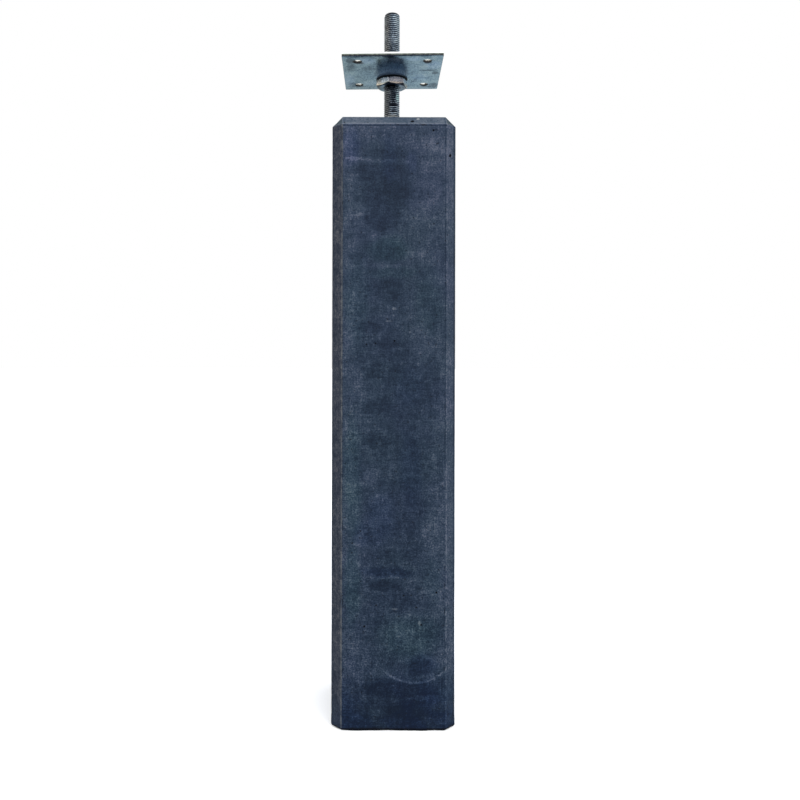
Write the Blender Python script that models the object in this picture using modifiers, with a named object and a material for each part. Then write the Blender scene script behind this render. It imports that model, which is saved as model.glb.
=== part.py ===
"""Precast concrete column footing with a height-adjustable steel head.

Metres, +Z up. The origin is the middle of the underside, and -Y is the front.
"""

import math

import bmesh
import bpy
from mathutils import Matrix

# Concrete block
BLOCK_WIDTH = 0.120
BLOCK_DEPTH = 0.120
BLOCK_HEIGHT = 0.592
BLOCK_CHAMFER = 0.010

# Worn lower arris of the block: its mean size, how far it strays, what the corners lose
# beyond it, and the points along each side
FOOT_WEAR = 0.0016
FOOT_STRAY = 0.0009
CORNER_WEAR = 0.0032
FOOT_CUTS = 15

# Threaded rod, cast into the block
ROD_DIAMETER = 0.0158
THREAD_PITCH = 0.002
THREAD_DEPTH = 0.0012
ROD_OUT = 0.120
ROD_EMBEDDED = 0.150
ROD_TIP_BEVEL = 0.0016
ROD_SIDES = 16

# Head: the plate's underside above the block, and the pieces that carry it
HEAD_RISE = 0.0594
PLATE_WIDTH = 0.0995
PLATE_DEPTH = 0.0995
PLATE_THICKNESS = 0.004
PLATE_CORNER = 0.0012
PLATE_YAW = math.radians(-1.84)
SCREW_HOLE_DIAMETER = 0.009
SCREW_HOLE_SPACING = 0.0692
COLLAR_DIAMETER = 0.027
COLLAR_HEIGHT = 0.0042
WASHER_DIAMETER = 0.0324
WASHER_THICKNESS = 0.0024
WASHER_EDGE = 0.0004
NUT_FLATS = 0.029
NUT_HEIGHT = 0.0080
NUT_CHAMFER_ANGLE = math.radians(30)
NUT_COUNTERSINK = 0.0009
NUT_TURN = math.radians(13.4)

# Clearances
FIT_GAP = 0.0003
NUT_CLEARANCE = 0.0003
WASHER_CLEARANCE = 0.0006
PLATE_CLEARANCE = 0.0007

# How finely round shapes are cut
ROUND_SIDES = 48
HOLE_SIDES = 24
SHARP_ANGLE = math.radians(32)

# Heights that follow from the sizes above
HEAD_Z = BLOCK_HEIGHT + HEAD_RISE
COLLAR_Z = HEAD_Z - COLLAR_HEIGHT
WASHER_Z = COLLAR_Z - FIT_GAP - WASHER_THICKNESS
NUT_Z = WASHER_Z - FIT_GAP - NUT_HEIGHT


def clear_radius(diameter, clearance, sides):
    """Corner radius of a many-sided hole whose flats keep the clearance to a round piece."""
    return (diameter / 2 + clearance) / math.cos(math.pi / sides)


def remove_all_objects():
    for old in list(bpy.data.objects):
        bpy.data.objects.remove(old, do_unlink=True)


def new_collection(name):
    collection = bpy.data.collections.new(name)
    bpy.context.scene.collection.children.link(collection)
    return collection


def new_material(name, colour, roughness, metallic):
    material = bpy.data.materials.new(name)
    material.use_nodes = True
    shader = material.node_tree.nodes["Principled BSDF"]
    shader.inputs["Base Color"].default_value = (*colour, 1.0)
    shader.inputs["Roughness"].default_value = roughness
    shader.inputs["Metallic"].default_value = metallic
    return material


def new_object(name, bm, collection, material=None):
    """Turns a bmesh into an object, smooth across its round faces."""
    mesh = bpy.data.meshes.new(name)
    bm.to_mesh(mesh)
    bm.free()
    mesh.shade_smooth()
    mesh.set_sharp_from_angle(angle=SHARP_ANGLE)
    if material:
        mesh.materials.append(material)
    piece = bpy.data.objects.new(name, mesh)
    collection.objects.link(piece)
    return piece


def new_empty(name, collection, height):
    empty = bpy.data.objects.new(name, None)
    empty.empty_display_size = 0.03
    empty.location.z = height
    collection.objects.link(empty)
    return empty


def hang_on(parent, *pieces):
    for piece in pieces:
        piece.parent = parent


def cylinder(radius, low, high, sides):
    """A closed cylinder on the Z axis."""
    bm = bmesh.new()
    bmesh.ops.create_cone(
        bm,
        cap_ends=True,
        segments=sides,
        radius1=radius,
        radius2=radius,
        depth=high - low,
        matrix=Matrix.Translation((0, 0, (low + high) / 2)),
    )
    return bm


def turned_ring(name, profile, sides, collection, material=None):
    """A ring turned from a closed profile of (radius, height), outer side first, top to bottom."""
    bm = bmesh.new()
    corners = [bm.verts.new((radius, 0, height)) for radius, height in profile]
    for first, second in zip(corners, corners[1:] + corners[:1]):
        bm.edges.new((first, second))
    ring = new_object(name, bm, collection, material)
    screw = ring.modifiers.new("Turn", "SCREW")
    screw.steps = sides
    screw.render_steps = sides
    screw.use_merge_vertices = True
    screw.merge_threshold = 0.00001
    screw.use_smooth_shade = False
    return ring


def as_cutter(piece):
    piece.hide_render = True
    piece.display_type = "WIRE"
    return piece


def add_boolean(piece, operation, other):
    modifier = piece.modifiers.new(other.name, "BOOLEAN")
    modifier.operation = operation
    modifier.solver = "EXACT"
    modifier.object = other


def foot_stray(vertex):
    """What a point round the foot has lost beyond the mean wear: waves, and more at the corners."""
    along = vertex.co.x * 113 + vertex.co.y * 171
    across = vertex.co.x * 287 - vertex.co.y * 239
    waves = 0.6 * math.sin(along) + 0.4 * math.sin(across + 1.3)
    outward_x = abs(vertex.co.x) / (BLOCK_WIDTH / 2)
    outward_y = abs(vertex.co.y) / (BLOCK_DEPTH / 2)
    return FOOT_STRAY * waves + CORNER_WEAR * outward_x**8 * outward_y**3


def make_block(collection, cutters, material):
    """The concrete block, its lower arris worn, with a blind socket that the rod fills."""
    bm = bmesh.new()
    bmesh.ops.create_cube(bm, size=1)
    bmesh.ops.scale(bm, vec=(BLOCK_WIDTH, BLOCK_DEPTH, BLOCK_HEIGHT), verts=bm.verts)
    bmesh.ops.translate(bm, vec=(0, 0, BLOCK_HEIGHT / 2), verts=bm.verts)
    moulded = [edge for edge in bm.edges if any(v.co.z > FIT_GAP for v in edge.verts)]
    bmesh.ops.bevel(bm, geom=moulded, offset=BLOCK_CHAMFER, segments=1, affect="EDGES")
    lowest = [edge for edge in bm.edges if all(v.co.z < FIT_GAP for v in edge.verts)]
    bmesh.ops.bevel(bm, geom=lowest, offset=FOOT_WEAR, segments=1, affect="EDGES")

    # Points along the sides' lower edge and along the underside's edge let the wear wander
    rims = [
        edge
        for edge in bm.edges
        if all(v.co.z < 2 * FOOT_WEAR for v in edge.verts)
        and edge.calc_length() > 4 * BLOCK_CHAMFER
    ]
    bmesh.ops.subdivide_edges(bm, edges=rims, cuts=FOOT_CUTS, use_grid_fill=True)
    for vertex in bm.verts:
        if vertex.co.z > 2 * FOOT_WEAR:
            continue
        if vertex.co.z > FOOT_WEAR / 2:
            vertex.co.z += foot_stray(vertex)
        else:
            inward = 1 - foot_stray(vertex) / (BLOCK_WIDTH / 2)
            vertex.co.x *= inward
            vertex.co.y *= inward
    block = new_object("concrete_block", bm, collection, material)

    socket_radius = rod_shank_radius() + FIT_GAP / math.cos(math.pi / ROD_SIDES)
    socket_floor = BLOCK_HEIGHT - ROD_EMBEDDED - FIT_GAP
    above_block = BLOCK_HEIGHT + BLOCK_CHAMFER
    hole = cylinder(socket_radius, socket_floor, above_block, ROD_SIDES)
    add_boolean(block, "DIFFERENCE", as_cutter(new_object("rod_socket", hole, cutters)))
    return block


def rod_shank_radius():
    """Mean radius of the thread, which the concrete has filled below the surface."""
    return ROD_DIAMETER / 2 - THREAD_DEPTH / 2


def make_rod(collection, material):
    """A threaded rod. Each column of points climbs the thread, from a root to the next crest."""
    root = ROD_DIAMETER / 2 - THREAD_DEPTH
    crest = ROD_DIAMETER / 2
    thread_foot = BLOCK_HEIGHT + FIT_GAP
    thread_top = BLOCK_HEIGHT + ROD_OUT - ROD_TIP_BEVEL
    turns = int((thread_top - thread_foot) / THREAD_PITCH) - 1
    first_root = thread_top - (turns + 1) * THREAD_PITCH
    levels = 2 * turns + 1

    bm = bmesh.new()

    def ring(radius, height):
        angles = [2 * math.pi * side / ROD_SIDES for side in range(ROD_SIDES)]
        return [
            bm.verts.new((radius * math.cos(a), radius * math.sin(a), height))
            for a in angles
        ]

    end_ring = ring(rod_shank_radius(), BLOCK_HEIGHT - ROD_EMBEDDED)
    shank_ring = ring(rod_shank_radius(), thread_foot)
    columns = []
    for side in range(ROD_SIDES):
        angle = 2 * math.pi * side / ROD_SIDES
        column = []
        for level in range(levels):
            radius = crest if level % 2 else root
            height = first_root + THREAD_PITCH * (level / 2 + side / ROD_SIDES)
            point = (radius * math.cos(angle), radius * math.sin(angle), height)
            column.append(bm.verts.new(point))
        columns.append(column)
    neck_ring = ring(root, thread_top)
    tip_ring = ring(root - ROD_TIP_BEVEL / 2, thread_top + ROD_TIP_BEVEL)

    for side in range(ROD_SIDES):
        after = (side + 1) % ROD_SIDES
        here, there = columns[side], columns[after]
        bm.faces.new((end_ring[side], end_ring[after], shank_ring[after], shank_ring[side]))
        bm.faces.new((neck_ring[side], neck_ring[after], tip_ring[after], tip_ring[side]))
        if after:
            rise = 0
            bm.faces.new((shank_ring[side], shank_ring[after], there[0], here[0]))
            bm.faces.new((here[-1], there[-1], neck_ring[after], neck_ring[side]))
        else:
            # The last column meets the first one a whole turn higher up
            rise = 2
            bm.faces.new((shank_ring[side], shank_ring[after], *there[: rise + 1], here[0]))
            bm.faces.new((*reversed(here[-rise - 1 :]), there[-1], neck_ring[after], neck_ring[side]))
        for level in range(levels - 1 - rise):
            lower, upper = level + rise, level + rise + 1
            bm.faces.new((here[level], there[lower], there[upper], here[level + 1]))
    bm.faces.new(list(reversed(end_ring)))
    bm.faces.new(tip_ring)
    bmesh.ops.recalc_face_normals(bm, faces=bm.faces)
    return new_object("threaded_rod", bm, collection, material)


def make_nut(collection, cutters, material):
    """A thin hexagon nut: a six-sided bar cut by a turned ring with chamfered faces."""
    corner = NUT_FLATS / 2 / math.cos(math.pi / 6)
    face = NUT_FLATS / 2 - FIT_GAP
    rim = corner + FIT_GAP
    drop = (rim - face) * math.tan(NUT_CHAMFER_ANGLE)
    bore = clear_radius(ROD_DIAMETER, NUT_CLEARANCE, ROUND_SIDES)
    mouth = bore + NUT_COUNTERSINK
    profile = [
        (face, NUT_HEIGHT),
        (rim, NUT_HEIGHT - drop),
        (rim, drop),
        (face, 0),
        (mouth, 0),
        (bore, NUT_COUNTERSINK),
        (bore, NUT_HEIGHT - NUT_COUNTERSINK),
        (mouth, NUT_HEIGHT),
    ]
    nut = new_object(
        "hex_nut",
        cylinder(corner, -NUT_HEIGHT, 2 * NUT_HEIGHT, 6),
        collection,
        material,
    )
    ring = as_cutter(turned_ring("nut_ring", profile, ROUND_SIDES, cutters))
    hang_on(nut, ring)
    add_boolean(nut, "INTERSECT", ring)
    # A six-sided cylinder's first corner lies along +Y
    nut.rotation_euler.z = NUT_TURN - math.radians(90)
    return nut


def make_washer(collection, material):
    """A flat punched washer with broken outer edges."""
    inner = clear_radius(ROD_DIAMETER, WASHER_CLEARANCE, ROUND_SIDES)
    outer = WASHER_DIAMETER / 2
    profile = [
        (outer - WASHER_EDGE, WASHER_THICKNESS),
        (outer, WASHER_THICKNESS - WASHER_EDGE),
        (outer, WASHER_EDGE),
        (outer - WASHER_EDGE, 0),
        (inner, 0),
        (inner, WASHER_THICKNESS),
    ]
    return turned_ring("washer", profile, ROUND_SIDES, collection, material)


def make_plate(collection, cutters, material):
    """The square plate with its welded collar below, the rod's hole and four screw holes."""
    bm = bmesh.new()
    bmesh.ops.create_cube(bm, size=1)
    bmesh.ops.scale(bm, vec=(PLATE_WIDTH, PLATE_DEPTH, PLATE_THICKNESS), verts=bm.verts)
    bmesh.ops.translate(bm, vec=(0, 0, PLATE_THICKNESS / 2), verts=bm.verts)
    upright = [edge for edge in bm.edges if edge.verts[0].co.xy == edge.verts[1].co.xy]
    bmesh.ops.bevel(bm, geom=upright, offset=PLATE_CORNER, segments=3, affect="EDGES", profile=0.5)
    plate = new_object("post_plate", bm, collection, material)
    plate.rotation_euler.z = PLATE_YAW

    collar = cylinder(COLLAR_DIAMETER / 2, -COLLAR_HEIGHT, PLATE_THICKNESS / 2, ROUND_SIDES)
    collar = as_cutter(new_object("plate_collar", collar, cutters))
    hang_on(plate, collar)
    add_boolean(plate, "UNION", collar)

    below = -COLLAR_HEIGHT - PLATE_THICKNESS
    above = 2 * PLATE_THICKNESS
    hole_radius = clear_radius(ROD_DIAMETER, PLATE_CLEARANCE, ROUND_SIDES)
    hole = as_cutter(new_object("rod_hole", cylinder(hole_radius, below, above, ROUND_SIDES), cutters))
    hang_on(plate, hole)
    add_boolean(plate, "DIFFERENCE", hole)
    for row in (-1, 1):
        for side in (-1, 1):
            drill = cylinder(SCREW_HOLE_DIAMETER / 2, below, above, HOLE_SIDES)
            drill = as_cutter(new_object("screw_hole", drill, cutters))
            drill.location.x = side * SCREW_HOLE_SPACING / 2
            drill.location.y = row * SCREW_HOLE_SPACING / 2
            hang_on(plate, drill)
            add_boolean(plate, "DIFFERENCE", drill)
    return plate


def main():
    remove_all_objects()
    parts = new_collection("column_footing")
    cutters = new_collection("cutters")
    concrete = new_material("anthracite_concrete", (0.038, 0.055, 0.078), 0.85, 0.0)
    rod_steel = new_material("zinc_plated_rod", (0.42, 0.43, 0.45), 0.38, 1.0)
    nut_steel = new_material("zinc_plated_nut", (0.62, 0.60, 0.58), 0.30, 1.0)
    plate_steel = new_material("zinc_plated_plate", (0.45, 0.50, 0.53), 0.34, 1.0)

    footing = new_empty("footing", parts, 0)
    hang_on(footing, make_block(parts, cutters, concrete), make_rod(parts, rod_steel))

    head = new_empty("head", parts, HEAD_Z)
    plate = make_plate(parts, cutters, plate_steel)
    washer = make_washer(parts, plate_steel)
    washer.location.z = WASHER_Z - HEAD_Z
    nut = make_nut(parts, cutters, nut_steel)
    nut.location.z = NUT_Z - HEAD_Z
    hang_on(head, plate, washer, nut)


main()
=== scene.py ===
import math
import random

import bmesh
import bpy
from mathutils import Matrix, Vector, noise
from mathutils.kdtree import KDTree


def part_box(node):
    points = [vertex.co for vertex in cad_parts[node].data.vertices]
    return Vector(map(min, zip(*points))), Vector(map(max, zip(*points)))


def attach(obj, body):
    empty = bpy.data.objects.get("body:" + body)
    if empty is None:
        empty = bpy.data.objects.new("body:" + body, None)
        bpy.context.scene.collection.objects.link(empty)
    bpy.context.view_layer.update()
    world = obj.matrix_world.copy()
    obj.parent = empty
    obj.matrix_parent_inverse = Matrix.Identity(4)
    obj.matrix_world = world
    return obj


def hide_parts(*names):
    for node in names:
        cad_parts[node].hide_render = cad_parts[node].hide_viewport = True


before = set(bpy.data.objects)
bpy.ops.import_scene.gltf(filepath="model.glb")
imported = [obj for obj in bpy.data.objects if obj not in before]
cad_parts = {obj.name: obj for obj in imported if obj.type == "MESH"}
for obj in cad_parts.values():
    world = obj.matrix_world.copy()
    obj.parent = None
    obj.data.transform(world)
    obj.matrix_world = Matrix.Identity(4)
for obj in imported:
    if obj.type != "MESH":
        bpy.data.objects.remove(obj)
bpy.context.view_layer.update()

# Places and sizes that come from the frame, in metres
BLOCK_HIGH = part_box("concrete_block")[1]
ROD_LOW, ROD_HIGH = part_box("threaded_rod")
NUT_LOW, NUT_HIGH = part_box("hex_nut")
WASHER_LOW, WASHER_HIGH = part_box("washer")
PLATE_LOW, PLATE_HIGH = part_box("post_plate")

MM = 0.001

# The photograph's camera, level and looking along +Y
PHOTO_SIDE = 800
FOCAL_PX = 821.6
PRINCIPAL_PX = (354.4, 359.3)
CAMERA_AT = (-38.1 * MM, -848 * MM, 356.4 * MM)
CAMERA_ROLL = math.radians(-0.126)
SENSOR_MM = 36.0
CLIP_RANGE = (0.01, 60)

# Concrete block
HALF_WIDTH = BLOCK_HIGH.x
HALF_DEPTH = BLOCK_HIGH.y
BLOCK_TOP = BLOCK_HIGH.z
CHAMFER = 10 * MM
FACE_CELLS = 57
CHAMFER_CELLS = 8
ROW_HEIGHT = 1.78 * MM
FOOT_WEAR = 1.6 * MM
FOOT_STRAY = 0.9 * MM
CORNER_WEAR = 3.2 * MM
WEAR_INWARD = 0.9
FOOT_ROWS = 4
UNDERSIDE_RINGS = 14
UNDERSIDE_LIFT = 0.14 * MM

# Threaded rod
ROD_RADIUS = 8 * MM
THREAD_PITCH = 2 * MM
THREAD_DEPTH = 0.9 * MM
THREAD_PHASES = (0.0, 0.1, 0.37, 0.63, 0.9)
CREST_HALF, ROOT_HALF = 0.13, 0.40
ROD_STEPS = 48
CEMENT_HEIGHT = 3.6 * MM
CEMENT_REACH = 13.6 * MM

# Nut, washer and plate
NUT_FLATS = 29 * MM
NUT_ANGLE = math.radians(13.4)
NUT_STEPS = 180
WASHER_STEPS = 120
PLATE_YAW = math.radians(-1.84)
PLATE_SIDE = 99.5 * MM
PLATE_THICKNESS = 4 * MM
HOLE_SPACING = 69.2 * MM
HOLE_RADIUS = 4.5 * MM
HOLE_STEPS = 48
COLLAR_RADIUS = 13.5 * MM
COLLAR_STEPS = 96
WELD_FILLET = 1.3 * MM
ROD_HOLE_RADIUS = 8.62 * MM
ROD_HOLE_STEPS = 72

# Studio light, as linear colours and strengths
SKY_HIGH = (0.88, 0.91, 0.96, 1)
SKY_LEFT = (1.6, 1.6, 1.58, 1)
SKY_RIGHT = (1.12, 1.14, 1.18, 1)
GROUND_FRONT = (0.12, 0.155, 0.2, 1)
GROUND_BACK = (0.38, 0.45, 0.46, 1)
WHITE = (1, 1, 1, 1)
KEY_STRENGTH = 1.1
KEY_SPREAD = math.radians(40)
KEY_FROM = (0.3, -0.55, 0.8)
FLOOR_COLOUR = (0.92, 0.92, 0.92, 1)
FLOOR_GLOW = 0.3
FLOOR_RADIUS = 30


def smooth_step(low, high, value):
    t = min(1.0, max(0.0, (value - low) / (high - low)))
    return t * t * (3 - 2 * t)


def soft_noise(point, size, seed=0.0):
    """Smooth noise from -1 to 1 whose features are about `size` metres across."""
    return noise.noise(Vector(point) / size + Vector((seed, seed * 1.7, -seed)))


def rough_noise(point, size, seed=0.0):
    return noise.fractal(Vector(point) / size + Vector((seed, -seed, seed * 2.3)), 0.7, 2.1, 4)


def rgb(red, green, blue):
    """A colour given as it looks on screen, 0 to 255, as the shader's linear values."""
    return tuple(((c / 255 + 0.055) / 1.055) ** 2.4 for c in (red, green, blue)) + (1.0,)


def make_mesh(name, bm):
    mesh = bpy.data.meshes.new(name)
    bm.to_mesh(mesh)
    bm.free()
    return mesh


def add_object(name, data):
    thing = bpy.data.objects.new(name, data)
    bpy.context.scene.collection.objects.link(thing)
    return thing


def shade(mesh, material, sharp):
    """Smooth shading with edges kept sharp above `sharp` degrees."""
    mesh.shade_smooth()
    mesh.set_sharp_from_angle(angle=math.radians(sharp))
    mesh.materials.clear()
    mesh.materials.append(material)


def add_piece(name, bm, material, body, node_name, sharp):
    piece = add_object(name, make_mesh(name, bm))
    shade(piece.data, material, sharp)
    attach(piece, body)
    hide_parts(node_name)
    return piece


class Nodes:
    """A short way to write nodes. Each node is made after the nodes that it reads."""

    def __init__(self, owner, coordinates="Object"):
        owner.use_nodes = True
        self.owner = owner
        self.tree = owner.node_tree
        self.place = self.add("TexCoord").outputs[coordinates]

    def add(self, kind, values=None, **settings):
        """A node with its settings, and its inputs linked or set as `values` says."""
        node = self.tree.nodes.new("ShaderNode" + kind)
        for key, setting in settings.items():
            setattr(node, key, setting)
        for socket, value in (values or {}).items():
            self.put(node.inputs[socket], value)
        return node

    def put(self, socket, value):
        if hasattr(value, "is_output"):
            self.tree.links.new(value, socket)
        else:
            socket.default_value = value

    def math(self, operation, first, second=0.0, clamp=False):
        return self.add("Math", {0: first, 1: second}, operation=operation, use_clamp=clamp).outputs[0]

    def vector(self, operation, *values):
        return self.add("VectorMath", dict(enumerate(values)), operation=operation).outputs

    def split(self, vector):
        return self.add("SeparateXYZ", {0: vector}).outputs

    def facing(self):
        return self.split(self.add("TexCoord").outputs["Normal"])

    def size(self, value):
        return self.math("ABSOLUTE", value)

    def times(self, *values):
        """The product of two or more values."""
        result = values[-1]
        for value in reversed(values[:-1]):
            result = self.math("MULTIPLY", value, result)
        return result

    def total(self, start, *terms):
        """start plus each value times its weight."""
        for value, weight in terms:
            node = self.add("Math", {0: value, 1: weight, 2: start}, operation="MULTIPLY_ADD")
            start = node.outputs[0]
        return start

    def off(self, value, centre):
        """How far a place is from a centre that is given in mm."""
        return self.size(self.math("SUBTRACT", value, centre * MM))

    def span(self, value, low, high, to_low=0.0, to_high=1.0, smooth=False):
        """The value from low to high, as a value from to_low to to_high and no further."""
        values = {"Value": value, "From Min": low, "From Max": high, "To Min": to_low, "To Max": to_high}
        kind = "SMOOTHSTEP" if smooth else "LINEAR"
        return self.add("MapRange", values, interpolation_type=kind).outputs["Result"]

    def step(self, value, low, high, to_low=0.0, to_high=1.0, base=0.0, smooth=False):
        """span for a place or a length: low and high are mm from `base`."""
        return self.span(value, base + low * MM, base + high * MM, to_low, to_high, smooth)

    def fade(self, value, at_zero, at_one):
        return self.span(value, 0.0, 1.0, at_zero, at_one)

    def noise(self, scale, detail, roughness, low=0.36, high=0.64, stretch=None, distortion=0.0, w=0.0):
        """Noise with its contrast raised, so that low becomes 0 and high becomes 1."""
        place = self.place
        if stretch:
            place = self.add("Mapping", {"Vector": place, "Scale": stretch}).outputs["Vector"]
        values = {"Vector": place, "W": w, "Scale": scale, "Detail": detail}
        values.update({"Roughness": roughness, "Distortion": distortion})
        node = self.add("TexNoise", values, noise_dimensions="4D")
        return self.span(node.outputs["Fac"], low, high)

    def warped(self, scale, amount, w=0.0):
        """The object's coordinates pushed about by noise, so that marks get uneven edges."""
        values = {"Vector": self.place, "W": w, "Scale": scale, "Detail": 5, "Roughness": 0.65}
        colour = self.add("TexNoise", values, noise_dimensions="4D").outputs["Color"]
        shifted = self.vector("MULTIPLY_ADD", colour, (amount,) * 3, self.place)[0]
        return self.vector("SUBTRACT", shifted, (amount / 2,) * 3)[0]

    def distance(self, place, axes, location=(0, 0, 0)):
        """How far `place`, moved by `location`, is from the middle along the axes that are 1."""
        flat = self.add("Mapping", {"Vector": place, "Location": location, "Scale": axes})
        return self.vector("LENGTH", flat.outputs["Vector"])["Value"]

    def marks(self, place, marks, plane="xz"):
        """The strongest of some soft ovals: (across, up, half width, half height in mm, strength)."""
        strongest = 0.0
        for across, up, wide, high, strength in marks:
            scale = (1000 / wide, 0, 1000 / high)
            location = (-across / wide, 0, -up / high)
            if plane == "xy":
                scale, location = (scale[0], scale[2], 0), (location[0], location[2], 0)
            oval = self.vector("MULTIPLY_ADD", place, scale, location)[0]
            length = self.vector("LENGTH", oval)["Value"]
            mark = self.span(length, 1.25, 0.45, 0.0, strength, smooth=True)
            strongest = self.math("MAXIMUM", mark, strongest)
        return strongest

    def mix(self, factor, first, second, blend="MIX"):
        node = self.add("Mix", data_type="RGBA", blend_type=blend)
        for socket, value in ((0, factor), (6, first), (7, second)):
            self.put(node.inputs[socket], value)
        return node.outputs[2]

    def tint(self, colour, tint):
        return self.mix(1.0, colour, (*tint, 1), "MULTIPLY")

    def tinted(self, factor, colour, tint):
        """The colour, multiplied by a tint where the factor is 1."""
        return self.mix(factor, colour, self.tint(colour, tint))

    def ramp(self, value, stops):
        """Colours along a value, each stop with its place and its red, green and blue on screen."""
        node = self.add("ValToRGB", {0: value})
        elements = node.color_ramp.elements
        while len(elements) < len(stops):
            elements.new(0.5)
        for element, (position, *colour) in zip(elements, stops):
            element.position = position
            element.color = rgb(*colour)
        return node.outputs["Color"]

    def bump(self, height, strength, distance, normal=None):
        """Relief of a depth given in mm."""
        node = self.add("Bump", {"Height": height, "Strength": strength, "Distance": distance * MM})
        if normal:
            self.put(node.inputs["Normal"], normal)
        return node.outputs["Normal"]

    def finish(self, colour, roughness, normal, metallic=0.0, specular=0.5):
        shader = self.tree.nodes["Principled BSDF"].inputs
        self.put(shader["Base Color"], colour)
        self.put(shader["Roughness"], roughness)
        self.put(shader["Normal"], normal)
        self.put(shader["Metallic"], metallic)
        self.put(shader["Specular IOR Level"], specular)
        return self.owner


# Marks on the block's front: x and z of the centre, half width, half height (mm), strength
DARK_MARKS = (
    (-8, 553, 20, 14, 0.7), (-14, 535, 32, 14, 0.9), (-10, 512, 30, 18, 1.0), (-12, 492, 20, 14, 1.0),
    (-30, 560, 14, 12, 0.45), (-4, 424, 18, 13, 0.7), (-4, 458, 19, 11, 0.6), (-22, 388, 16, 7, 0.6),
    (2, 372, 28, 8, 0.5), (-18, 345, 18, 9, 0.6), (36, 330, 14, 44, 0.5), (-15, 310, 20, 10, 0.6),
    (-12, 278, 22, 10, 0.6), (6, 240, 30, 12, 0.55), (-28, 230, 12, 6, 0.6), (18, 218, 12, 8, 0.4),
    (-24, 185, 10, 12, 0.4), (4, 168, 26, 9, 0.5), (-4, 153, 26, 5, 0.8), (-8, 138, 22, 8, 0.9),
    (2, 124, 26, 12, 0.45), (26, 62, 14, 11, 0.85), (2, 40, 44, 9, 1.0), (14, 20, 26, 12, 0.75),
    (8, 270, 32, 150, 0.42), (20, 215, 12, 45, 0.5),
)
LIGHT_MARKS = (
    (-38, 549, 12, 2.2, 1.5), (-8, 547, 24, 1.6, 0.9), (-36, 533, 8, 1.5, 0.8), (-30, 517, 9, 1.5, 0.8),
    (-34, 495, 11, 1.8, 1.3), (38, 528, 8, 2, 0.5), (32, 505, 22, 44, 0.45), (24, 565, 24, 10, 0.25),
    (-36, 466, 10, 5, 0.5), (-6, 446, 24, 1.8, 0.7), (30, 455, 14, 12, 0.45), (-30, 436, 10, 9, 0.35),
    (22, 402, 18, 2, 0.4), (-5, 366, 22, 1.6, 0.4), (8, 352, 20, 2.2, 0.45), (4, 298, 24, 1.6, 0.4),
    (-2, 262, 18, 2, 0.45), (6, 228, 30, 1.5, 0.4), (-10, 203, 24, 2, 0.35), (-6, 147, 24, 1.5, 0.8),
    (16, 145, 9, 1.4, 0.6), (40, 128, 8, 22, 0.45), (-40, 84, 9, 14, 0.4), (12, 95, 22, 1.6, 0.45),
    (-44, 300, 9, 150, 0.2), (44, 250, 8, 150, 0.25), (-37, 14.3, 5, 4.5, 1.0), (-17, 17.5, 9, 4, 0.9),
    (45, 66, 6, 16, 0.35),
)
PALE_SPOTS = (
    (0, 405, 2.5, 1.4, 0.7), (-5, 393, 3.6, 1.1, 0.55), (1, 117, 3.4, 1.1, 0.7),
    (24.9, 103.7, 1.9, 2.2, 0.9), (23, 589.3, 1.5, 1.0, 1.0),
)
TEAL_MARKS = (
    (-6, 462, 22, 14, 1.0), (-36, 410, 14, 50, 0.7), (-40, 240, 10, 66, 0.9), (16, 90, 32, 26, 0.9),
    (-40, 140, 9, 44, 1.0), (34, 415, 16, 34, 0.5), (-5, 440, 34, 6, 0.6), (38, 145, 10, 24, 0.5),
)
NAVY_MARKS = (
    (-41, 562, 9, 22, 1.0), (-5, 548, 8, 26, 0.7), (16, 545, 6, 10, 0.6), (28, 64, 16, 12, 1.0),
    (-6, 152, 26, 6, 1.0), (26, 34, 20, 16, 0.8), (-14, 205, 16, 28, 0.7), (16, 250, 12, 40, 0.6),
    (14, 330, 16, 20, 0.5), (-30, 190, 10, 16, 0.6),
)
# A pale curved scrape near the foot (mm)
SCRAPE_CENTRE = (20.1, 88.0)
SCRAPE_RADIUS = 41.9
SCRAPE_HALF_WIDTH = 1.6

# Colours along each material's tone, as they look on screen
CONCRETE_SHADES = (
    (0.0, 18, 31, 48), (0.25, 31, 46, 64), (0.5, 47, 63, 80), (0.75, 68, 82, 99), (1.0, 104, 113, 126),
)
BROWN_SHADES = ((0.2, 34, 40, 54), (0.5, 62, 66, 77), (0.85, 108, 106, 108))
NUT_SHADES = ((0.0, 140, 148, 154), (0.4, 204, 206, 207), (0.8, 236, 232, 226), (1.0, 248, 246, 240))
PLATE_SHADES = ((0.0, 92, 112, 132), (0.35, 138, 160, 176), (0.6, 166, 187, 200), (1.0, 206, 217, 222))
HOLE_PAINTED_LIGHT_AND_SHADE = ((0.2, 16, 16, 20), (0.45, 66, 62, 58), (0.62, 140, 142, 132), (0.85, 255, 252, 240))
ROD_SHADES = ((0.0, 22, 26, 34), (0.35, 80, 90, 102), (0.7, 154, 168, 180), (1.0, 212, 224, 228))
CEMENT_SHADES = ((0.0, 116, 124, 128), (1.0, 210, 208, 202))

# A slanting distance from the sum of two coordinates, and from the sum of three
SLANT_2 = 0.7071
SLANT_3 = 0.5774


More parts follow.
